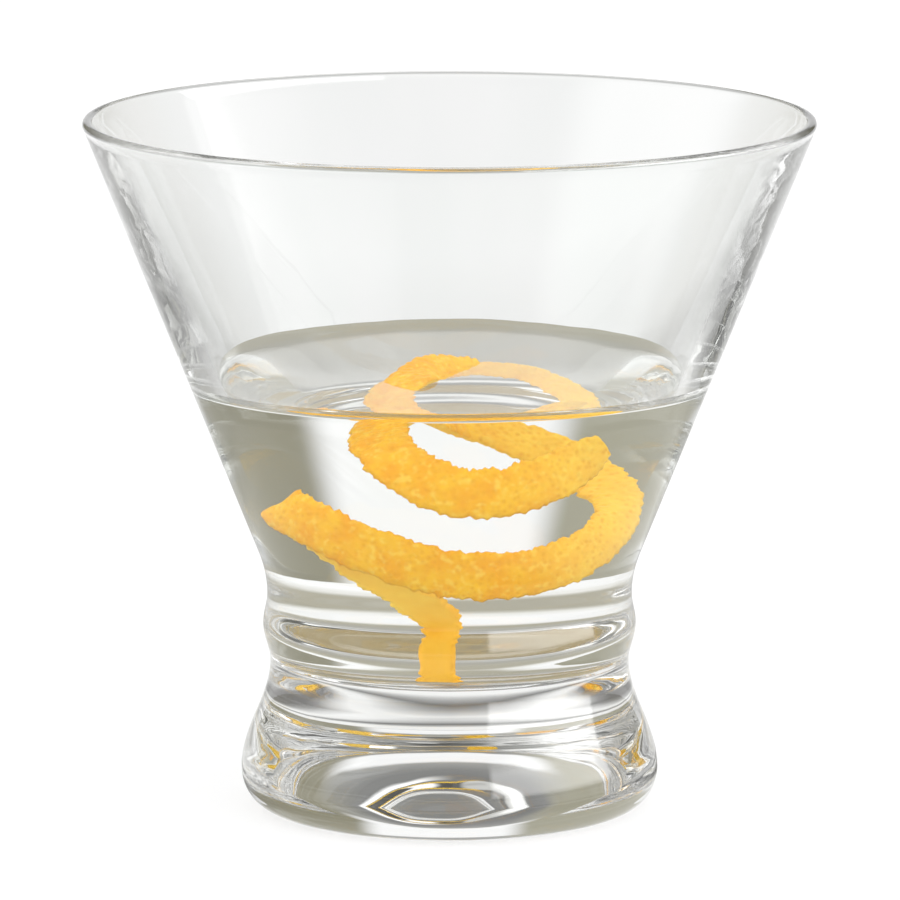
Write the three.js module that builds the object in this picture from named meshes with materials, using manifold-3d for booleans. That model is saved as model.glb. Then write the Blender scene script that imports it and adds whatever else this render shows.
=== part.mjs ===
// A stemless martini glass, the drink in it, and a long citrus twist standing in the drink.
// Millimetres, +Z up. The origin is on the table, under the middle of the foot, and -Y is the front.

import * as THREE from 'three';
import { mergeVertices } from 'three/addons/utils/BufferGeometryUtils.js';
import Module from 'manifold-3d';

const wasm = await Module();
wasm.setup();

// Driving dimensions of the glass
const glassHeight = 99;         // table to the top of the lip
const rimRadius = 51.95;        // outside of the lip
const lipThickness = 1.5;       // the lip is a full round
const waistRadius = 26.05;      // upper groove of the waist, where the cone begins
const waistHeight = 30.6;
const coneFootHeight = 33.7;    // where the cone's straight side would meet the waist
const beadRadius = 26.65;       // low bead between the two grooves
const beadHeight = 26.3;
const neckRadius = 25.65;       // lower groove, above the foot
const neckHeight = 21;
const footRadius = 29.8;        // widest part of the foot
const footHeight = 5.3;
const standRadius = 25.3;       // outer edge of the ring that the glass stands on
const standWidth = 2.6;
const puntDepth = 4;            // hollow under the middle of the foot
const puntRadius = 17;
const standRise = 0.3;          // how far the underside lifts between that ring and the hollow
const floorHeight = 20.3;       // thickness of the solid base
const wellRadius = 20;          // bottom of the bowl, inside the waist
const wellCorner = 4;           // rounding between the well's floor and its side
const shoulderHeight = 31.7;    // where the well's side turns into the flaring wall
const shoulderBlend = 3.8;
const wallSlope = 0.425;        // inside radius gained for each millimetre of height above the shoulder
const wallBend = 0.33;          // share of the wall's height at which that slope gives way to the lip's

// Driving dimensions of the drink and the twist
const drinkLevel = 62.2;        // table to the drink's surface
const drinkGap = 0.35;          // drink to the glass
const twistGap = 0.4;           // drink to the twist, and the twist's foot to the bottom of the well
const foldRadius = 3.2;         // round room at the sharp fold at the strip's left end, free of drink
const twistBreadth = 7.4;       // width of the strip of peel
const twistThickness = 1.5;
const twistEdge = 0.4;          // bevel along the strip's edges

const turnSteps = 60;           // facets in a full turn of the glass and the drink
const curveSteps = 6;           // facets in each curve of a turned outline
const spanSteps = 3;            // facets between two stations of the twist

// The twist's route, from its foot on the bottom of the well to its free end under the surface.
// turn: degrees round the bowl from the front, to the right seen from above.
// level: percent of the drink's depth. reach: percent of the way from the axis to the wall.
// out, round, up: which way the strip's inner edge lies. share: share of the full breadth.
const tailRoute = [
  { turn: -12, level: 0.5, reach: 30, out: 0, round: 1, up: 0, share: 0.68 },
  { turn: -11, level: 8, reach: 31, out: 0, round: 1, up: 0, share: 0.54 },
  { turn: -8, level: 16.5, reach: 32, out: 0, round: 1, up: 0.1, share: 0.62 },
  { turn: -16, level: 24.5, reach: 39, out: 0, round: 0.85, up: 0.5, share: 0.82 },
  { turn: -32, level: 34, reach: 54, out: 0, round: 0.6, up: 0.8, share: 0.68 },
  { turn: -47, level: 46, reach: 68, out: -0.1, round: 0.5, up: 0.8, share: 0.72 },
  { turn: -58, level: 55.5, reach: 74, out: -0.3, round: 0.65, up: 0.65, share: 0.86 },
  { turn: -66, level: 61.5, reach: 77, out: -0.42, round: 0.76, up: 0.48, share: 1 },
];
const lowerRoute = [
  { turn: -67, level: 63, reach: 82, out: -0.42, round: 0.76, up: 0.48, share: 1.05 },
  { turn: -59, level: 61, reach: 84.5, out: -0.25, round: 0.55, up: 0.75, share: 1.04 },
  { turn: -38, level: 54, reach: 87, out: -0.05, round: 0.25, up: 0.95, share: 1 },
  { turn: -14, level: 46, reach: 86.5, out: 0, round: 0.1, up: 1, share: 1 },
  { turn: 9, level: 41.5, reach: 85.5, out: 0, round: 0, up: 1, share: 1 },
  { turn: 32, level: 42, reach: 85.5, out: -0.05, round: 0, up: 1, share: 1 },
  { turn: 53, level: 47, reach: 85, out: -0.2, round: 0, up: 0.95, share: 1 },
  { turn: 71, level: 55, reach: 81, out: -0.5, round: 0, up: 0.8, share: 0.96 },
  { turn: 87, level: 64, reach: 69, out: -0.8, round: 0, up: 0.35, share: 0.86 },
  { turn: 105, level: 73, reach: 56, out: -0.85, round: 0, up: -0.15, share: 0.82 },
  { turn: 123, level: 81, reach: 46, out: -0.75, round: 0, up: -0.5, share: 0.84 },
];
const upperRoute = [
  { turn: 131, level: 87.5, reach: 34, out: -0.6, round: -0.3, up: -0.7, share: 0.84 },
  { turn: 148, level: 93.5, reach: 20, out: -0.55, round: -0.35, up: -0.7, share: 0.86 },
  { turn: -130, level: 98, reach: 7, out: -0.8, round: 0.25, up: -0.5, share: 0.9 },
  { turn: -49, level: 98.5, reach: 23, out: -0.55, round: 0.75, up: 0.1, share: 0.95 },
  { turn: -36, level: 93, reach: 44, out: -0.7, round: 0.45, up: 0.45, share: 1 },
  { turn: -20, level: 84.5, reach: 65.5, out: -0.55, round: 0.4, up: 0.7, share: 1 },
  { turn: -9, level: 77.5, reach: 75, out: -0.35, round: 0.25, up: 0.9, share: 1 },
  { turn: 3, level: 73, reach: 78, out: -0.2, round: 0.1, up: 0.95, share: 1 },
  { turn: 16, level: 72.5, reach: 78, out: -0.15, round: 0, up: 0.95, share: 1 },
  { turn: 31, level: 75.5, reach: 75, out: -0.15, round: -0.1, up: 0.95, share: 1 },
  { turn: 46, level: 81, reach: 72, out: -0.15, round: -0.2, up: 0.9, share: 0.92 },
  { turn: 56, level: 87, reach: 71.5, out: -0.1, round: -0.3, up: 0.9, share: 0.62 },
];

// Outlines are lists of (radius, height) points.
const at = (radius, height) => new THREE.Vector2(radius, height);

// Half a wave from one swell or groove of the outline to the next, without its first point.
function halfWave(from, to) {
  const points = [];
  for (let step = 1; step <= curveSteps; step += 1) {
    const share = step / curveSteps;
    const rise = (1 - Math.cos(Math.PI * share)) / 2;
    points.push(at(THREE.MathUtils.lerp(from.x, to.x, rise), THREE.MathUtils.lerp(from.y, to.y, share)));
  }
  return points;
}

// A bend between two straight stretches that meet at a corner.
function bend(from, corner, to) {
  return new THREE.QuadraticBezierCurve(from, corner, to).getPoints(curveSteps);
}

// A stretch of an ellipse, angles in radians from the outward direction.
function arc(centre, radiusAcross, radiusUp, start, end, steps) {
  return new THREE.EllipseCurve(centre.x, centre.y, radiusAcross, radiusUp, start, end, end < start)
    .getPoints(steps);
}

const lipRadius = lipThickness / 2;
const lipCentre = at(rimRadius - lipRadius, glassHeight - lipRadius);
const coneRise = lipCentre.y - coneFootHeight;
const coneSlope = (rimRadius - waistRadius) / coneRise;
const coneTilt = Math.atan(coneSlope);

// The inside, from the lip down to the middle of the well's floor.
function innerOutline() {
  const shoulder = at(wellRadius, shoulderHeight);
  const wallFoot = at(wellRadius + wallSlope * shoulderBlend, shoulderHeight + shoulderBlend);
  const wallTop = at(lipCentre.x - lipRadius, lipCentre.y);
  const bendRise = (wallTop.y - wallFoot.y) * wallBend;
  const wallBelly = at(wallFoot.x + wallSlope * bendRise, wallFoot.y + bendRise);
  const wall = new THREE.QuadraticBezierCurve(wallTop, wallBelly, wallFoot).getPoints(2 * curveSteps);
  const shoulderBend = bend(wallFoot, shoulder, at(wellRadius, shoulderHeight - shoulderBlend));
  const cornerCentre = at(wellRadius - wellCorner, floorHeight + wellCorner);
  const corner = arc(cornerCentre, wellCorner, wellCorner, 0, -Math.PI / 2, curveSteps);
  return [...wall, ...shoulderBend.slice(1), ...corner, at(0, floorHeight)];
}

// The outside, from the middle of the hollow under the foot up to the lip.
function outerOutline() {
  const standInner = standRadius - standWidth;
  const punt = bend(at(0, puntDepth), at(puntRadius / 2, puntDepth), at(puntRadius, standRise));
  const footSide = arc(at(standRadius, footHeight), footRadius - standRadius, footHeight,
    -Math.PI / 2, 0, curveSteps);
  const foot = at(footRadius, footHeight);
  const neck = at(neckRadius, neckHeight);
  const bead = at(beadRadius, beadHeight);
  const waist = at(waistRadius, waistHeight);
  const coneCorner = at(waistRadius, coneFootHeight);
  const blend = coneFootHeight - waistHeight;
  const coneFoot = at(waistRadius + coneSlope * blend, coneFootHeight + blend);
  const lip = arc(lipCentre, lipRadius, lipRadius, -coneTilt, Math.PI, curveSteps);
  return [
    ...punt, at(standInner, 0), ...footSide,
    ...halfWave(foot, neck), ...halfWave(neck, bead), ...halfWave(bead, waist),
    ...bend(waist, coneCorner, coneFoot).slice(1), ...lip.slice(0, -1),
  ];
}

// Inside radius of the bowl at a height.
const inside = innerOutline();
function insideRadius(height) {
  const below = Math.max(1, inside.findIndex((point) => point.y <= height));
  const upper = inside[below - 1];
  const lower = inside[below];
  return THREE.MathUtils.mapLinear(height, lower.y, upper.y, lower.x, upper.x);
}

// Merges the corners that faces share, and drops the faces that shrank to a line.
function weld(geometry) {
  geometry.deleteAttribute('normal');
  geometry.deleteAttribute('uv');
  const merged = mergeVertices(geometry, 1e-4);
  const corners = merged.index.array;
  const kept = [];
  for (let face = 0; face < corners.length; face += 3) {
    const [a, b, c] = corners.slice(face, face + 3);
    if (a !== b && b !== c && c !== a) kept.push(a, b, c);
  }
  merged.setIndex(kept);
  return merged;
}

function turned(outline) {
  return weld(new THREE.LatheGeometry(outline, turnSteps).rotateX(Math.PI / 2));
}

function solid(geometry) {
  const vertProperties = new Float32Array(geometry.attributes.position.array);
  const triVerts = new Uint32Array(geometry.index.array);
  return new wasm.Manifold(new wasm.Mesh({ numProp: 3, vertProperties, triVerts }));
}

function fromSolid(body) {
  const mesh = body.getMesh();
  const geometry = new THREE.BufferGeometry();
  geometry.setAttribute('position', new THREE.BufferAttribute(new Float32Array(mesh.vertProperties), 3));
  geometry.setIndex(Array.from(mesh.triVerts));
  return geometry;
}

// Place of a station of the route, and the direction across the strip there.
function station({ turn, level, reach, out, round, up, share }) {
  const angle = THREE.MathUtils.degToRad(turn);
  const bottom = floorHeight + twistGap;
  const height = bottom + (drinkLevel - bottom) * (level / 100);
  const outward = new THREE.Vector3(Math.sin(angle), -Math.cos(angle), 0);
  const along = new THREE.Vector3(Math.cos(angle), Math.sin(angle), 0);
  const place = outward.clone().multiplyScalar(insideRadius(height) * (reach / 100)).setZ(height);
  const across = outward.multiplyScalar(out).addScaledVector(along, round).setZ(up).normalize();
  return { place, across, share };
}

// Frames along a stretch of the route, from one station's number to another's.
const stations = [...tailRoute, ...lowerRoute, ...upperRoute].map(station);
const placeCurve = new THREE.CatmullRomCurve3(stations.map((each) => each.place));
const acrossCurve = new THREE.CatmullRomCurve3(stations.map((each) => each.across));
const shareCurve = new THREE.CatmullRomCurve3(
  stations.map((each) => new THREE.Vector3(each.share, 0, 0)),
);

function frames(first, last) {
  const found = [];
  for (let step = first * spanSteps; step <= last * spanSteps; step += 1) {
    const position = step / (spanSteps * (stations.length - 1));
    const along = placeCurve.getTangent(position);
    const across = acrossCurve.getPoint(position).projectOnPlane(along).normalize();
    const face = along.clone().cross(across);
    const share = shareCurve.getPoint(position).x;
    found.push({ place: placeCurve.getPoint(position), along, across, face, share });
  }
  return found;
}

// The strip of peel between two stations, grown all round by a margin.
function strip(first, last, margin) {
  const rings = frames(first, last);
  rings[0].place.addScaledVector(rings[0].along, -margin);
  rings.at(-1).place.addScaledVector(rings.at(-1).along, margin);
  const deep = twistThickness / 2 + margin;
  const positions = [];
  for (const { place, across, face, share } of rings) {
    const wide = (twistBreadth * share) / 2 + margin;
    const flat = wide - twistEdge;
    const edge = deep - twistEdge;
    const section = [
      [-flat, -deep], [flat, -deep], [wide, -edge], [wide, edge],
      [flat, deep], [-flat, deep], [-wide, edge], [-wide, -edge],
    ];
    for (const [sideways, outward] of section) {
      const corner = place.clone().addScaledVector(across, sideways).addScaledVector(face, outward);
      positions.push(...corner.toArray());
    }
  }
  const sides = positions.length / 3 / rings.length;
  const faces = [];
  for (let ring = 0; ring < rings.length - 1; ring += 1) {
    for (let side = 0; side < sides; side += 1) {
      const here = ring * sides + side;
      const beside = ring * sides + ((side + 1) % sides);
      faces.push(here, beside, beside + sides, here, beside + sides, here + sides);
    }
  }
  const lastRing = (rings.length - 1) * sides;
  for (let side = 1; side < sides - 1; side += 1) {
    faces.push(0, side + 1, side);
    faces.push(lastRing, lastRing + side, lastRing + side + 1);
  }
  const geometry = new THREE.BufferGeometry();
  geometry.setAttribute('position', new THREE.Float32BufferAttribute(positions, 3));
  geometry.setIndex(faces);
  return geometry;
}

// A plug of room along the crease where the strip folds back on itself.
function foldRoom(before, after) {
  const crease = twistBreadth * after.share + 2 * twistGap;
  const place = before.place.clone().lerp(after.place, 0.5);
  const upright = new THREE.Vector3(0, 1, 0);
  const plug = new THREE.CylinderGeometry(foldRadius, foldRadius, crease, 2 * curveSteps);
  plug.applyQuaternion(new THREE.Quaternion().setFromUnitVectors(upright, after.across));
  return weld(plug.translate(...place.toArray()));
}

function glassGeometry() {
  return turned([...outerOutline(), ...inside]);
}

// The drink follows the inside of the bowl at its gap, and leaves room for the twist.
function drinkGeometry() {
  const bottom = floorHeight + drinkGap;
  const outline = [at(0, bottom)];
  const heights = inside.map((point) => point.y)
    .filter((height) => height > bottom && height < drinkLevel);
  for (const height of [...heights.reverse(), drinkLevel]) {
    outline.push(at(insideRadius(height) - drinkGap * Math.hypot(1, coneSlope), height));
  }
  outline.push(at(0, drinkLevel));
  const foldStation = tailRoute.length;
  const loopStation = foldStation + lowerRoute.length;
  const lastStation = stations.length - 1;
  const room = solid(strip(0, foldStation, twistGap))
    .add(solid(strip(foldStation, loopStation, twistGap)))
    .add(solid(strip(loopStation, lastStation, twistGap)))
    .add(solid(foldRoom(stations[foldStation - 1], stations[foldStation])));
  return fromSolid(solid(turned(outline)).subtract(room));
}

function twistGeometry() {
  return strip(0, stations.length - 1, 0);
}

function piece(name, geometry, material) {
  geometry.computeVertexNormals();
  const mesh = new THREE.Mesh(geometry, new THREE.MeshStandardMaterial(material));
  mesh.name = name;
  return mesh;
}

const stemlessMartini = new THREE.Group();
stemlessMartini.add(
  piece('glass', glassGeometry(), { color: 0xeef2f1, roughness: 0.03, metalness: 0 }),
  piece('drink', drinkGeometry(), { color: 0xf2f3ec, roughness: 0.02, metalness: 0 }),
  piece('citrus_twist', twistGeometry(), { color: 0xf0ab2e, roughness: 0.5, metalness: 0 }),
);

export default stemlessMartini;
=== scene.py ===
import math
import bpy
import numpy as np
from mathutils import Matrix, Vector, noise


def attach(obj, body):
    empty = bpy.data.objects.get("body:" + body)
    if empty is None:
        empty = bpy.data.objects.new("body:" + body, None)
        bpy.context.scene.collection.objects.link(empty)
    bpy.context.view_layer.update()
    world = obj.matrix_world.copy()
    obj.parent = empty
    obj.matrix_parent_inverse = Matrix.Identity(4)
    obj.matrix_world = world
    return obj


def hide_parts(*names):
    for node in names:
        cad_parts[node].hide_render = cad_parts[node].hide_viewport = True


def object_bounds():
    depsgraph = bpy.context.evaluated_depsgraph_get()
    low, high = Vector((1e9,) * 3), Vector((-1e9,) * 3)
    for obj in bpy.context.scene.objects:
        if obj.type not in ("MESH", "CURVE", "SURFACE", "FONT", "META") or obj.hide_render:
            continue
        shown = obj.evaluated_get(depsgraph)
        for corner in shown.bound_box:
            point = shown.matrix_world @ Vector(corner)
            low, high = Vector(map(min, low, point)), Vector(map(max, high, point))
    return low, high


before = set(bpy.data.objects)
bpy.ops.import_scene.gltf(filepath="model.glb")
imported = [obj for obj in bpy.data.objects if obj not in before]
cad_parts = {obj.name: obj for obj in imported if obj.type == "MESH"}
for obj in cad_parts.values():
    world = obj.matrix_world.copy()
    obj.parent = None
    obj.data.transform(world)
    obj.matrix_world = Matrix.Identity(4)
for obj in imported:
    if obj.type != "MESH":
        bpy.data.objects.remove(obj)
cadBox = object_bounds()
scene = bpy.context.scene
mm = 0.001  # sizes below are in millimetres, meshes are in metres


# one output of a node tree, with arithmetic that adds its own Math nodes
class Wire:
    def __init__(self, tree, socket=None):
        self.tree, self.socket = tree, socket

    def node(self, kind, settings=None, sockets=None, output=0):
        made = self.tree.nodes.new("ShaderNode" + kind)
        for name, value in (settings or {}).items():
            if name == "stops":
                ramp = made.color_ramp.elements
                while len(ramp) < len(value):
                    ramp.new(0.5)
                for stop, (place, colour) in zip(ramp, value):
                    stop.position, stop.color = place, (*colour, 1)
            else:
                setattr(made, name, value)
        for name, value in (sockets or {}).items():
            if isinstance(value, Wire):
                self.tree.links.new(value.socket, made.inputs[name])
            else:
                made.inputs[name].default_value = value
        return Wire(self.tree, made.outputs[output])

    def math(self, operation, a, b=0.0):
        return self.node("Math", {"operation": operation}, {0: a, 1: b})

    def __add__(self, other):
        return self.math("ADD", self, other)

    def __mul__(self, other):
        return self.math("MULTIPLY", self, other)

    def __truediv__(self, other):
        return self.math("DIVIDE", self, other)

    def __rtruediv__(self, other):
        return self.math("DIVIDE", other, self)

    __radd__, __rmul__ = __add__, __mul__

    def most(self, other):
        return self.math("MAXIMUM", self, other)

    def span(self, low, high, start=0.0, end=1.0):  # smooth step from start to end
        return self.node("MapRange", {"interpolation_type": "SMOOTHSTEP"},
                         {"Value": self, "From Min": low, "From Max": high, "To Min": start, "To Max": end})

    def mix(self, first, second):  # this wire is the factor between two colours
        return self.node("Mix", {"data_type": "RGBA"}, {0: self, 6: first, 7: second}, 2)

    def grey(self):  # a colour with this value in all three channels
        return self.node("CombineColor", {}, {0: self, 1: self, 2: self})


def newFinish(name):
    material = bpy.data.materials.new(name)
    material.use_nodes = True
    tree = material.node_tree
    return material, Wire(tree), tree.nodes["Principled BSDF"]


def feed(wire, shader, socket):
    wire.tree.links.new(wire.socket, shader.inputs[socket])


# camera, fitted to the lip, the waterline and the foot in a 900 x 900 frame
view = dict(distance=1100.0, height=246.3, pitch=10.06, focal=7840.6, axisColumn=449.5, size=900, sensor=36)
camera = bpy.data.objects.new("photoCamera", bpy.data.cameras.new("photoCamera"))
scene.collection.objects.link(camera)
camera.location = (0, -view["distance"] * mm, view["height"] * mm)
camera.rotation_euler = (math.radians(90 - view["pitch"]), 0, 0)
camera.data.sensor_width = view["sensor"]
camera.data.lens = view["sensor"] * view["focal"] / view["size"]
camera.data.shift_x = (view["size"] / 2 - view["axisColumn"]) / view["size"]
scene.camera = camera
print("camera placed")


# outlines are lists of (radius, height)
def halfWave(start, end, steps=18):
    points = []
    for step in range(1, steps + 1):
        share = step / steps
        rise = (1 - math.cos(math.pi * share)) / 2
        points.append((start[0] + (end[0] - start[0]) * rise, start[1] + (end[1] - start[1]) * share))
    return points


def bend(start, corner, end, steps=20):
    points = []
    for step in range(steps + 1):
        t = step / steps
        points.append(tuple((1 - t) ** 2 * a + 2 * t * (1 - t) * b + t * t * c
                            for a, b, c in zip(start, corner, end)))
    return points


def arc(centre, across, up, start, end, steps=16):
    angles = [start + (end - start) * step / steps for step in range(steps + 1)]
    return [(centre[0] + across * math.cos(a), centre[1] + up * math.sin(a)) for a in angles]


def straight(start, end, steps):
    return [tuple(a + (b - a) * step / steps for a, b in zip(start, end)) for step in range(1, steps)]


glassShape = dict(
    height=cadBox[1][2] / mm, rim=cadBox[1][0] / mm, lip=1.5, waist=(26.05, 30.6), coneFoot=33.7,
    bead=(26.65, 26.3), neck=(25.65, 21.0), foot=(29.8, 5.3), stand=25.3, standWidth=2.6, standEdge=0.25,
    punt=(17.0, 4.0), rise=0.3, floor=20.3, well=20.0, wellCorner=4.0, shoulder=31.7, shoulderBlend=3.8,
    standRound=(0.4, 0.18), wallSlope=0.425, wallBend=0.33, turns=216,
    waves=(0.05, 3.5, 30), ripples=(0.012, 11, 18),  # height, how many round the glass, length up the wall
    calmFoot=(1, 6), calmLip=(4, 20),  # how far from table and lip they begin, and over how much they grow
    chill=(0.03, 1.6, 4),  # uneven hollow under the foot, given the same way
    sidesApart=9,  # keeps the waves inside from repeating those outside
)


def innerOutline(g):
    lip = g["lip"] / 2
    wallTop = (g["rim"] - g["lip"], g["height"] - lip)
    wallFoot = (g["well"] + g["wallSlope"] * g["shoulderBlend"], g["shoulder"] + g["shoulderBlend"])
    rise = (wallTop[1] - wallFoot[1]) * g["wallBend"]
    belly = (wallFoot[0] + g["wallSlope"] * rise, wallFoot[1] + rise)
    cornerCentre = (g["well"] - g["wellCorner"], g["floor"] + g["wellCorner"])
    wellSide = (g["well"], g["shoulder"] - g["shoulderBlend"])
    corner = arc(cornerCentre, g["wellCorner"], g["wellCorner"], 0, -math.pi / 2)
    return (bend(wallTop, belly, wallFoot, 64)
            + bend(wallFoot, (g["well"], g["shoulder"]), wellSide)[1:]
            + straight(wellSide, corner[0], 4) + corner
            + straight(corner[-1], (0, g["floor"]), 8) + [(0, g["floor"])])


def outerOutline(g):
    lip = g["lip"] / 2
    centre = (g["rim"] - lip, g["height"] - lip)
    slope = (g["rim"] - g["waist"][0]) / (centre[1] - g["coneFoot"])
    inner, edge = g["stand"] - g["standWidth"], g["standEdge"]
    wide, deep = g["punt"]
    punt = bend((0, deep), (wide / 2, deep), (wide, g["rise"])) + straight((wide, g["rise"]), (inner, 0), 5)
    along, rise = g["standRound"]
    ring = [(inner - edge, edge * rise), (inner + edge * along, 0), (g["stand"], 0)]
    footCentre = (g["stand"], g["foot"][1])
    footSide = arc(footCentre, g["foot"][0] - g["stand"], g["foot"][1], -math.pi / 2, 0, 24)[1:]
    blend = g["coneFoot"] - g["waist"][1]
    coneFoot = (g["waist"][0] + slope * blend, g["coneFoot"] + blend)
    lipArc = arc(centre, lip, lip, -math.atan(slope), math.pi)
    return (punt + ring + footSide + halfWave(g["foot"], g["neck"]) + halfWave(g["neck"], g["bead"], 12)
            + halfWave(g["bead"], g["waist"], 12)
            + bend(g["waist"], (g["waist"][0], g["coneFoot"]), coneFoot)[1:]
            + straight(coneFoot, lipArc[0], 40) + lipArc[:-1])


inside = innerOutline(glassShape)
insideHeights = [z for r, z in reversed(inside)][1:]
insideRadii = [r for r, z in reversed(inside)][1:]


def insideRadius(z):
    return float(np.interp(z, insideHeights, insideRadii))


# turns an outline round the axis; slots gives each band's material, shift moves a ring's points out and up
def turned(name, outline, turns, finishes, slots, shift):
    corners, faces, faceSlots, rings = [], [], [], []
    for number, (r, z) in enumerate(outline):
        start = len(corners)
        if r < 1e-6:  # on the axis
            corners.append((0, 0, z * mm))
            rings.append([start] * turns)
            continue
        for step in range(turns):
            angle = 2 * math.pi * step / turns
            out, up = shift(number, angle)
            wide = r + out
            corners.append((wide * math.sin(angle) * mm, -wide * math.cos(angle) * mm, (z + up) * mm))
        rings.append(range(start, start + turns))
    for band in range(len(outline) - 1):
        low, high = rings[band], rings[band + 1]
        for step in range(turns):
            following = (step + 1) % turns
            ordered = dict.fromkeys((low[step], low[following], high[following], high[step]))
            faces.append(tuple(ordered))
            faceSlots.append(slots[band])
    mesh = bpy.data.meshes.new(name)
    mesh.from_pydata(corners, [], faces)
    mesh.polygons.foreach_set("material_index", faceSlots)
    mesh.shade_smooth()
    for finish in finishes:
        mesh.materials.append(finish)
    made = bpy.data.objects.new(name, mesh)
    scene.collection.objects.link(made)
    return made


drinkShape = dict(level=61.4, meniscus=1.6, sink=0.75, sinkReach=4, climb=1.5, edgeBand=9, film=0.02,
                  wallBand=1, edgeRings=30, flatRings=12, turns=216)
contactHeight = drinkShape["level"] + drinkShape["meniscus"]  # where the drink's edge climbs to in front


# at the back the edge climbs less, so points of the wall near it slide down along the wall: out and up
def slide(angle, z):
    near = max(0, 1 - abs(z - contactHeight) / drinkShape["sinkReach"])
    down = drinkShape["sink"] * (1 - math.cos(angle)) / 2 * near
    return insideRadius(z - down) - insideRadius(z), -down


# clear pressed glass: faint tint, faint cords and wipe marks
glassLook = dict(
    tint=(0.975, 0.985, 0.978), cords=(0.992, 0.996, 0.992), index=1.52, drinkIndex=1.335,
    cordScale=(60, 60, 14), wipeScale=45.0, wipeRough=0.004, skinScale=4.0, skin=0.01, skinDepth=0.0004,
)


def glassFinish(name, index):
    look = glassLook
    material, wire, shader = newFinish(name)
    place = wire.node("TexCoord", output=3)
    stretched = wire.node("Mapping", {}, {"Vector": place, "Scale": look["cordScale"]})
    cords = wire.node("TexNoise", {}, {"Vector": stretched, "Scale": 1.0, "Detail": 2.0})
    feed(cords.span(0.35, 0.65).mix((*look["tint"], 1), (*look["cords"], 1)), shader, "Base Color")
    wipes = wire.node("TexNoise", {}, {"Vector": place, "Scale": look["wipeScale"], "Detail": 3.0})
    feed(wipes.span(0.45, 0.8, 0.0, look["wipeRough"]), shader, "Roughness")
    skin = wire.node("TexNoise", {}, {"Vector": stretched, "Scale": look["skinScale"], "Detail": 1.0})
    bump = wire.node("Bump", {}, {"Strength": look["skin"], "Distance": look["skinDepth"], "Height": skin})
    feed(bump, shader, "Normal")
    shader.inputs["IOR"].default_value = index
    shader.inputs["Transmission Weight"].default_value = 1.0
    return material


clearGlass = glassFinish("clearGlass", glassLook["index"])
wetGlass = glassFinish("wetGlass", glassLook["index"] / glassLook["drinkIndex"])  # glass against drink


# long shallow waves left by the mould, none at the lip or where the glass stands
def moulded(angle, z, side):
    g = glassShape
    total = 0
    for height, turns, length in (g["waves"], g["ripples"]):
        place = (turns * math.sin(angle), turns * math.cos(angle), z / length + g["sidesApart"] * side)
        total += height * noise.noise(Vector(place))
    aboveFoot = (z - g["calmFoot"][0]) / g["calmFoot"][1]
    belowLip = (g["height"] - g["calmLip"][0] - z) / g["calmLip"][1]
    return min(1, max(0, aboveFoot), max(0, belowLip)) * total


def buildGlass():
    outer = outerOutline(glassShape)
    split = next(i for i, (r, z) in enumerate(inside) if z < contactHeight)
    inner = inside[:split] + [(insideRadius(contactHeight), contactHeight)] + inside[split:]
    outline = outer + inner
    firstWet = len(outer) + split
    slots = [1 if band >= firstWet else 0 for band in range(len(outline) - 1)]

    def shift(number, angle):
        r, z = outline[number]
        if number >= len(outer):
            out, up = slide(angle, z)
            return out + (moulded(angle, z, 1) if number < firstWet else 0), up
        if r < glassShape["punt"][0]:
            share, turns, length = glassShape["chill"]
            place = (turns * math.sin(angle), turns * math.cos(angle), r / length)
            return share * r * noise.noise(Vector(place)), 0
        return moulded(angle, z, 0), 0

    piece = turned("glass_bowl", outline, glassShape["turns"], [clearGlass, wetGlass], slots, shift)
    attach(piece, "glass")
    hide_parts("glass")


buildGlass()
print("glass turned")


# the drink: a clear liquid with a raised edge where it meets the wall
drinkLook = dict(surface=(0.99, 0.99, 0.975), body=(0.995, 0.995, 0.985),
                 driftScale=70.0, swirl=0.01, swirlDepth=0.0003)


def drinkFinish(name, colour, index, swirl):
    material, wire, shader = newFinish(name)
    place = wire.node("TexCoord", output=3)
    drift = wire.node("TexNoise", {}, {"Vector": place, "Scale": drinkLook["driftScale"], "Detail": 2.0})
    feed(drift.span(0.3, 0.7).mix((*colour, 1), (1, 1, 1, 1)), shader, "Base Color")
    bump = wire.node("Bump", {}, {"Strength": swirl, "Distance": drinkLook["swirlDepth"], "Height": drift})
    feed(bump, shader, "Normal")
    shader.inputs["Roughness"].default_value = 0.0
    shader.inputs["IOR"].default_value = index
    shader.inputs["Transmission Weight"].default_value = 1.0
    return material


def buildDrink():
    d = drinkShape
    reach = insideRadius(contactHeight) - d["film"]
    wall = []
    for r, z in reversed(inside):
        if z < contactHeight:
            lift = d["film"] if r < glassShape["well"] - d["wallBand"] else 0
            wall.append((max(r - d["film"], 0), z + lift))
    surface = []
    for share in np.linspace(0, 1, d["edgeRings"]):
        back = d["edgeBand"] * (1 - share) ** 2  # close together near the wall
        surface.append((reach - back, d["level"] + d["meniscus"] * math.exp(-back / d["climb"])))
    surface = surface[::-1] + straight(surface[0], (0, d["level"]), d["flatRings"]) + [(0, d["level"])]
    outline = wall + surface
    slots = [1 if band >= len(wall) else 0 for band in range(len(outline) - 1)]
    look = drinkLook
    finishes = [drinkFinish("drinkBody", look["body"], 1.0, 0.0),  # the wet glass bends the light
                drinkFinish("drinkSurface", look["surface"], glassLook["drinkIndex"], look["swirl"])]

    def shift(number, angle):
        r, z = outline[number]
        if number < len(wall):
            return slide(angle, z)
        out, up = slide(angle, contactHeight)
        inward = reach - r
        return out * max(0, 1 - inward / d["edgeBand"]), up * math.exp(-inward / d["climb"])

    piece = turned("drink_fill", outline, d["turns"], finishes, slots, shift)
    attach(piece, "glass")
    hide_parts("drink")


buildDrink()
print("drink poured")


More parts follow.
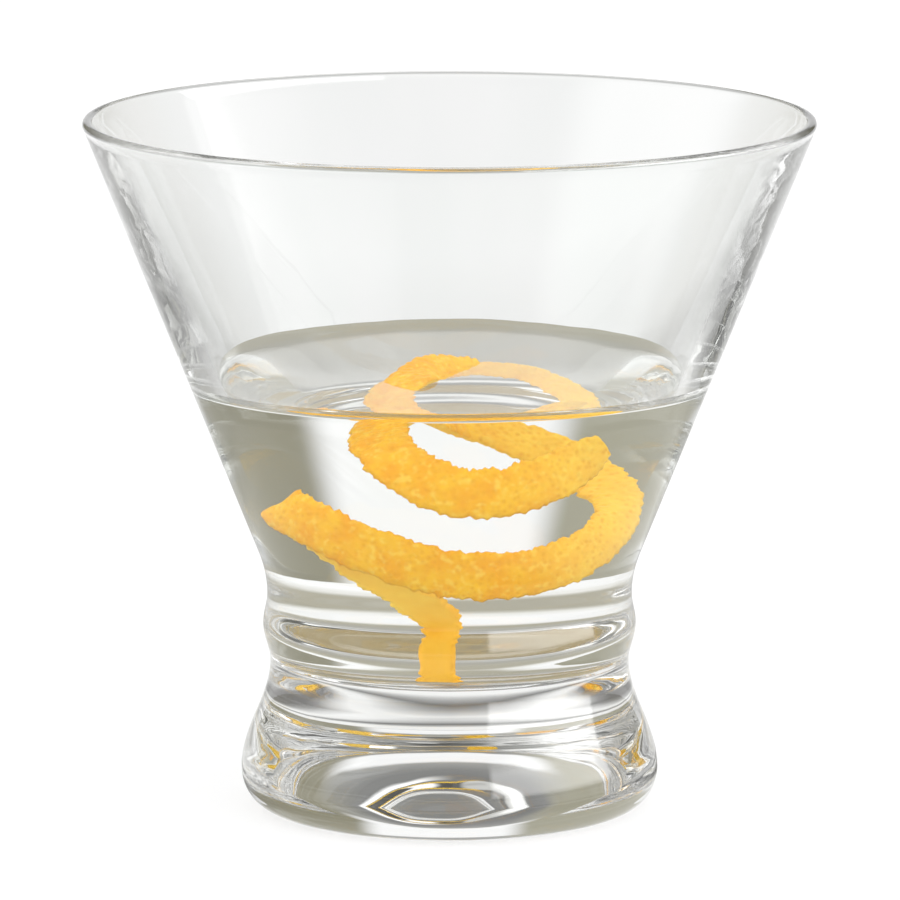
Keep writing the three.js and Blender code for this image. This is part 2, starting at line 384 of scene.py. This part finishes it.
# the twist: one long strip of peel along the stations of the CAD route
peelShape = dict(
    top=62.2, breadth=7.4, thickness=1.5, pithShare=0.88, camber=0.28, gap=0.4, perSpan=30, faceSteps=26,
    nibbles=[(0.455, 1.5, 7.3, 0.2), (0.42, 0.62, 3.1, 4.7)],  # depth, length, sides apart, start
    edgeShare=0.45, edgePower=10, pores=0.22, poreSize=0.95, poreReach=0.55,
    pithBumps=0.08, pithBumpSize=0.9,
)
# degrees round the bowl, percent of the depth, percent of the reach; out, round, up; share of the breadth
peelStations = [
    (-12, 0.5, 30, 0, 1, 0, 0.68), (-11, 8, 31, 0, 1, 0, 0.54), (-8, 16.5, 32, 0, 1, 0.1, 0.62),
    (-16, 24.5, 39, 0, 0.85, 0.5, 0.82), (-32, 34, 54, 0, 0.6, 0.8, 0.68),
    (-47, 46, 68, -0.1, 0.5, 0.8, 0.72), (-58, 55.5, 74, -0.3, 0.65, 0.65, 0.86),
    (-66, 61.5, 77, -0.42, 0.76, 0.48, 1), (-67, 63, 82, -0.42, 0.76, 0.48, 1.05),
    (-59, 61, 84.5, -0.25, 0.55, 0.75, 1.04), (-38, 54, 87, -0.05, 0.25, 0.95, 1),
    (-14, 46, 86.5, 0, 0.1, 1, 1), (9, 41.5, 85.5, 0, 0, 1, 1), (32, 42, 85.5, -0.05, 0, 1, 1),
    (53, 47, 85, -0.2, 0, 0.95, 1), (71, 55, 81, -0.5, 0, 0.8, 0.96), (87, 64, 69, -0.8, 0, 0.35, 0.86),
    (105, 73, 56, -0.85, 0, -0.15, 0.82), (123, 81, 46, -0.75, 0, -0.5, 0.84),
    (131, 87.5, 34, -0.6, -0.3, -0.7, 0.84), (148, 93.5, 20, -0.55, -0.35, -0.7, 0.86),
    (-130, 98, 7, -0.8, 0.25, -0.5, 0.9), (-49, 98.5, 23, -0.55, 0.75, 0.1, 0.95),
    (-36, 93, 44, -0.7, 0.45, 0.45, 1), (-20, 84.5, 65.5, -0.55, 0.4, 0.7, 1),
    (-9, 77.5, 75, -0.35, 0.25, 0.9, 1), (3, 73, 78, -0.2, 0.1, 0.95, 1), (16, 72.5, 78, -0.15, 0, 0.95, 1),
    (31, 75.5, 75, -0.15, -0.1, 0.95, 1), (46, 81, 72, -0.15, -0.2, 0.9, 0.92),
    (56, 87, 71.5, -0.1, -0.3, 0.9, 0.62),
]
peelLook = dict(
    # shine is a painted highlight colour, mixed into the zest as lit flecks and lighter stretches
    zest=(0.95, 0.53, 0.02), ripe=(0.92, 0.40, 0.01), paintedHighlight=(0.98, 0.66, 0.09), paintedPoreShade=(0.80, 0.33, 0.006),
    pith=(0.90, 0.45, 0.022), cream=(0.98, 0.66, 0.09), gloss=0.06,
    patchScale=260.0, highlightFleckScale=900.0, grainScale=2600.0, highlightFleckShare=0.6, poreShade=0.42, grainShare=0.4,
    # pale, paleFrom, paleTo and paleEnd paint stretches of the strip lighter in the highlight colour:
    # painted light
    pale=0.6, paleFrom=(0.36, 0.48), paleTo=(0.74, 0.6), paleEnd=(0.9, 1.0),  # shares of the strip's length
    creamPatches=0.3, creamAway=0.7, creamFrom=(0.03, 0.08),
    relief=0.55, pithRelief=0.25, reliefDepth=0.0002,
)


def stationRow(turn, level, reach, out, around, up, share):
    angle = math.radians(turn)
    bottom = glassShape["floor"] + peelShape["gap"]
    z = bottom + (peelShape["top"] - bottom) * level / 100
    outward = np.array((math.sin(angle), -math.cos(angle), 0.0))
    along = np.array((math.cos(angle), math.sin(angle), 0.0))
    place = outward * insideRadius(z) * reach / 100 + np.array((0, 0, z))
    across = outward * out + along * around + np.array((0, 0, up))
    return np.concatenate((place, across / np.linalg.norm(across), (share,)))


# centripetal curve through the stations, spaced by their places
def throughStations(rows, perSpan):
    ends = np.vstack((2 * rows[0] - rows[1], rows, 2 * rows[-1] - rows[-2]))
    found = []
    for span in range(1, len(ends) - 2):
        p = ends[span - 1:span + 3]
        gaps = [max(np.linalg.norm(p[i + 1][:3] - p[i][:3]), 1e-6) ** 0.5 for i in range(3)]
        t0, t1, t2, t3 = 0, gaps[0], gaps[0] + gaps[1], sum(gaps)
        for step in range(perSpan):
            t = t1 + (t2 - t1) * step / perSpan
            a = (t1 - t) / (t1 - t0) * p[0] + (t - t0) / (t1 - t0) * p[1]
            b = (t2 - t) / (t2 - t1) * p[1] + (t - t1) / (t2 - t1) * p[2]
            c = (t3 - t) / (t3 - t2) * p[2] + (t - t2) / (t3 - t2) * p[3]
            d = (t2 - t) / (t2 - t0) * a + (t - t0) / (t2 - t0) * b
            e = (t3 - t) / (t3 - t1) * b + (t - t1) / (t3 - t1) * c
            found.append((t2 - t) / (t2 - t1) * d + (t - t1) / (t2 - t1) * e)
    return np.array(found + [rows[-1]])


def nibble(travel, side):
    return sum(depth * noise.noise(Vector((travel / length, side * apart, start)))
               for depth, length, apart, start in peelShape["nibbles"])


def peelFinish(name, pith):
    look = peelLook
    material, wire, shader = newFinish(name)
    place = wire.node("TexCoord", output=3)
    along = wire.node("Attribute", {"attribute_name": "along"}, {}, 2)
    patches = wire.node("TexNoise", {}, {"Vector": place, "Scale": look["patchScale"], "Detail": 3.0})
    grain = wire.node("TexNoise", {}, {"Vector": place, "Scale": look["grainScale"], "Detail": 2.0})
    if pith:
        away = along.span(*look["creamFrom"], 0.0, look["creamAway"])  # less cream at the cut foot
        cream = patches.span(0.35, 0.7) * look["creamPatches"] + away
        colour = cream.mix((*look["pith"], 1), (*look["cream"], 1))
        feed(grain.span(0.3, 0.7, 0.55, 0.75), shader, "Roughness")
        relief, strength = grain, look["pithRelief"]
    else:
        # painted highlight colour for the zest
        paintedHighlight = (*look["paintedHighlight"], 1)
        cells = wire.node("TexVoronoi", {}, {"Vector": place, "Scale": 1 / mm / peelShape["poreSize"]})
        scale = look["highlightFleckScale"]
        # painted highlight: small flecks of the zest lifted toward the highlight colour
        highlightFlecks = wire.node("TexNoise", {}, {"Vector": place, "Scale": scale, "Detail": 2.0})
        skin = patches.span(0.3, 0.7).mix((*look["ripe"], 1), (*look["zest"], 1))
        skin = highlightFlecks.span(0.5, 0.7, 0.0, look["highlightFleckShare"]).mix(skin, paintedHighlight)
        # painted light: stretches of the strip lightened toward the highlight colour
        paintedLitStretch = along.span(*look["paleFrom"]) * along.span(*look["paleTo"])
        skin = (paintedLitStretch.most(along.span(*look["paleEnd"])) * look["pale"]).mix(skin, paintedHighlight)
        # painted shade: the zest is darkened in the pore dimples
        colour = cells.span(0.5, 0.08, 0.0, look["poreShade"]).mix(skin, (*look["paintedPoreShade"], 1))
        feed(cells.span(0.1, 0.5, 0.5, 0.33), shader, "Roughness")
        relief, strength = cells + grain * look["grainShare"], look["relief"]
    feed(colour, shader, "Base Color")
    shader.inputs["Specular IOR Level"].default_value = look["gloss"]  # wet, so little shine of its own
    bump = wire.node("Bump", {}, {"Strength": strength, "Distance": look["reliefDepth"], "Height": relief})
    feed(bump, shader, "Normal")
    return material


def buildPeel():
    p = peelShape
    rows = throughStations(np.array([stationRow(*s) for s in peelStations]), p["perSpan"])
    places = rows[:, :3]
    along = np.gradient(places, axis=0)
    along /= np.linalg.norm(along, axis=1)[:, None]
    across = rows[:, 3:6] - (rows[:, 3:6] * along).sum(1)[:, None] * along
    across /= np.linalg.norm(across, axis=1)[:, None]
    facing = np.cross(along, across)
    travel = np.concatenate(([0], np.cumsum(np.linalg.norm(np.diff(places, axis=0), axis=1))))
    half = p["faceSteps"]
    section = [(-1 + 2 * i / half, 1) for i in range(half + 1)]
    section += [(1 - 2 * i / half, -1) for i in range(half + 1)]
    count = len(section)
    corners, shares = [], []
    for ring in range(len(places)):
        wide = p["breadth"] * rows[ring, 6] / 2
        low = wide + nibble(travel[ring], -1)
        high = wide + nibble(travel[ring], 1)
        for sideways, side in section:
            reach = (high if sideways > 0 else low) * (1 if side > 0 else p["pithShare"])
            full = max(0.0, 1 - abs(sideways) ** p["edgePower"])
            thick = p["thickness"] / 2 * (p["edgeShare"] + (1 - p["edgeShare"]) * full)
            depth = side * thick - p["camber"] * sideways * sideways
            point = places[ring] + across[ring] * sideways * reach + facing[ring] * depth
            if side > 0:
                near = noise.voronoi(Vector(point / p["poreSize"]))[0][0]
                point = point - facing[ring] * p["pores"] * max(0.0, p["poreReach"] - near) / p["poreReach"]
            else:
                bump = noise.noise(Vector(point / p["pithBumpSize"]))
                point = point + facing[ring] * p["pithBumps"] * bump
            corners.append(tuple(point * mm))
            shares.append(travel[ring] / travel[-1])
    faces, slots = [], []
    for ring in range(len(places) - 1):
        for i in range(count):
            here, beside = ring * count + i, ring * count + (i + 1) % count
            faces.append((here, beside, beside + count, here + count))
            slots.append(0 if i < half else 1)
    last = (len(places) - 1) * count
    for i in range(half):
        far = count - 1 - i
        faces.append((i + 1, i, far, far - 1))
        faces.append((last + i, last + i + 1, last + far - 1, last + far))
        slots += [1, 1]
    mesh = bpy.data.meshes.new("citrus_peel")
    mesh.from_pydata(corners, [], faces)
    mesh.polygons.foreach_set("material_index", slots)
    mesh.shade_smooth()
    mesh.attributes.new("along", "FLOAT", "POINT").data.foreach_set("value", shares)
    mesh.materials.append(peelFinish("zest", False))
    mesh.materials.append(peelFinish("pith", True))
    piece = bpy.data.objects.new("citrus_peel", mesh)
    scene.collection.objects.link(piece)
    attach(piece, "twist")
    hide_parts("citrus_twist")


buildPeel()
print("peel cut")


# white floor, white background, and soft cards round the glass that show in it and on it
studio = dict(
    floorSize=6.0, floorDrop=0.0002, floorColour=(0.9, 0.9, 0.9), floorRough=0.9,
    floorGlow=0.72, floorShown=0.96,  # how much of its glow the floor shows to the camera, and in glass, where the glow holds the painted shade rings
    lean=-0.15, throughDrink=(4.2, 5.5), grey=(0.42, 0.42, 0.405), side=(0.16, 0.16, 0.15),
    window=(6.0, 1.7), room=1.1, roomTop=0.35, roomRise=(-0.2, 1.0),
    drinkRoom=1.4, drinkRoomFrom=(2.5, 5.5), bounces=48,
)
anyAtAll = (0.2, 0.8)  # from a count of bounces to no or yes
# painted shade on the floor, shown only through glass and drink: a warm shadow under the glass, dark
# contact-shadow lines and darker bands; metres from the axis, and the colour there
paintedShadeThroughDrink = [(0.0, (0.36, 0.26, 0.11)), (0.032, (0.42, 0.33, 0.16)), (0.0365, (0.12, 0.11, 0.10)),
              (0.0405, (0.16, 0.155, 0.15)), (0.0435, (0.95, 0.95, 0.94)), (0.0455, (0.90, 0.90, 0.89)),
              (0.0478, (0.16, 0.16, 0.155)), (0.052, (0.58, 0.57, 0.54)), (0.062, (0.36, 0.35, 0.31)),
              (0.095, (0.37, 0.345, 0.26)), (0.150, (0.37, 0.345, 0.26)), (0.220, (0.82, 0.81, 0.77)),
              (0.350, (0.97, 0.97, 0.97))]
# painted shade on the floor as shown through glass alone: dark contact-shadow lines and grey bands
paintedShadeThroughGlass = [(0.0, (0.92, 0.92, 0.91)), (0.031, (0.92, 0.92, 0.91)), (0.035, (0.13, 0.125, 0.12)),
              (0.0405, (0.15, 0.145, 0.14)), (0.0435, (0.95, 0.95, 0.94)), (0.0455, (0.90, 0.90, 0.89)),
              (0.0478, (0.14, 0.14, 0.135)), (0.053, (0.92, 0.92, 0.91)), (0.120, (0.92, 0.92, 0.91)),
              (0.145, (0.56, 0.56, 0.555)), (0.205, (0.56, 0.56, 0.555)), (0.245, (0.83, 0.83, 0.825)),
              (0.350, (0.97, 0.97, 0.97))]
# degrees to the right of straight behind: from, to, softness; the same above the horizon; colour
studioCards = [
    (-75, 75, 20, 20, 120, 25, (0.22, 0.22, 0.215)),    # dim ceiling behind
    (96, 220, 30, 25, 120, 20, (0.09, 0.09, 0.085)),    # dark room over the camera, on both sides
    (-220, -96, 30, 25, 120, 20, (0.13, 0.13, 0.125)),
    (138, 167, 8, 46, 72, 8, (1.1, 1.1, 1.1)),          # two lamps over the camera
    (-165, -130, 12, 44, 68, 12, (0.62, 0.62, 0.6)),
    (16, 64, 10, -12, 30, 12, (0.27, 0.255, 0.18)),     # dark card, right of the backdrop
    (-64, -13, 8, -12, 30, 12, (0.37, 0.355, 0.27)),    # grey card, left of it
    (-13, 16, 7, -70, 12, 4, (1.0, 1.0, 1.0)),          # backdrop, lit from behind
    (-130, -66, 20, 5, 70, 16, (1.15, 1.15, 1.13)),     # soft light on the left
    (4, 34, 10, 42, 55, 8, (1.3, 1.3, 1.3)),            # lamp behind, over the backdrop
]
sideShade = (90, 126, 10, -4, 15, 8)  # dark on both sides, only as the walls' own edges show it
windowCard = (80, 157, 4, 1, 27, 10)  # window on the right, at full strength only in the outside's mirror


def rayIs(wire, kind):
    return wire.node("LightPath", output=kind)


def buildFloor():
    half = studio["floorSize"] / 2
    mesh = bpy.data.meshes.new("paleFloor")
    corners = [(-half, -half, 0), (half, -half, 0), (half, half, 0), (-half, half, 0)]
    mesh.from_pydata(corners, [], [(0, 1, 2, 3)])
    floor = bpy.data.objects.new("paleFloor", mesh)
    floor.location.z = -studio["floorDrop"]
    scene.collection.objects.link(floor)
    material, wire, shader = newFinish("paleFloor")
    shader.inputs["Base Color"].default_value = (*studio["floorColour"], 1)
    shader.inputs["Roughness"].default_value = studio["floorRough"]
    shader.inputs["Specular IOR Level"].default_value = 0.0
    place = wire.node("NewGeometry")
    sideways = wire.node("SeparateXYZ", {}, {0: place})
    away = wire.node("VectorMath", {"operation": "LENGTH"}, {0: place}, 1)
    farthest = paintedShadeThroughDrink[-1][0]
    away = (away + sideways * studio["lean"]) / farthest  # the shade leans to one side
    shades = []
    for rings in (paintedShadeThroughGlass, paintedShadeThroughDrink):
        stops = [(reach / farthest, colour) for reach, colour in rings]
        shades.append(wire.node("ValToRGB", {"stops": stops}, {0: away}))
    shade = rayIs(wire, "Transmission Depth").span(*studio["throughDrink"]).mix(*shades)
    plain = rayIs(wire, "Is Camera Ray").most(rayIs(wire, "Diffuse Depth").span(*anyAtAll))
    # the floor's glow: plain white to the camera and after a bounce, the painted shade rings to rays through
    # glass
    glow = wire.node("Emission", {}, {"Color": plain.mix(shade, (1, 1, 1, 1)), "Strength": 1.0})
    through = rayIs(wire, "Is Glossy Ray").most(rayIs(wire, "Is Transmission Ray")) * studio["floorShown"]
    seen = through.most(rayIs(wire, "Is Camera Ray") * studio["floorGlow"])
    lit = Wire(wire.tree, shader.outputs[0])
    mixed = wire.node("MixShader", {}, {0: seen, 1: lit, 2: glow})
    feed(mixed, wire.tree.nodes["Material Output"], "Surface")
    mesh.materials.append(material)


def buildWorld():
    world = bpy.data.worlds.new("studio")
    scene.world = world
    world.use_nodes = True
    wire = Wire(world.node_tree)
    direction = wire.node("TexCoord")
    x, y, z = (wire.node("SeparateXYZ", {}, {0: direction}, axis) for axis in range(3))
    around = wire.math("ARCTAN2", x, y) * math.degrees(1)
    above = wire.math("ARCSINE", z) * math.degrees(1)
    passed = rayIs(wire, "Transmission Depth")
    behindGlass = passed.span(*anyAtAll)
    shown = (*studio["grey"], 1)

    def covers(left, right, edge, low, high, rim):
        soft, rim = edge / 2, rim / 2
        across = around.span(left - soft, left + soft) * around.span(right + soft, right - soft)
        return across * above.span(low - rim, low + rim) * above.span(high + rim, high - rim)

    for *place, colour in studioCards:
        shown = covers(*place).mix(shown, (*colour, 1))
    window = passed.span(*anyAtAll, *studio["window"])
    shown = covers(*windowCard).mix(shown, window.grey())
    left, right, *rest = sideShade
    sides = covers(left, right, *rest).most(covers(-right, -left, *rest))
    shown = (sides * behindGlass).mix(shown, (*studio["side"], 1))
    room = z.span(*studio["roomRise"], studio["room"], studio["room"] + studio["roomTop"])
    room = room + passed.span(*studio["drinkRoomFrom"]) * studio["drinkRoom"]  # for light that is held back
    shown = rayIs(wire, "Diffuse Depth").span(*anyAtAll).mix(shown, room.grey())
    shown = rayIs(wire, "Is Camera Ray").mix(shown, (1, 1, 1, 1))
    feed(shown, wire.tree.nodes["Background"], "Color")


buildFloor()
buildWorld()
scene.cycles.max_bounces = studio["bounces"]
scene.cycles.transmission_bounces = studio["bounces"]
scene.cycles.glossy_bounces = studio["bounces"]
scene.view_settings.view_transform = "Standard"
print("studio lit")
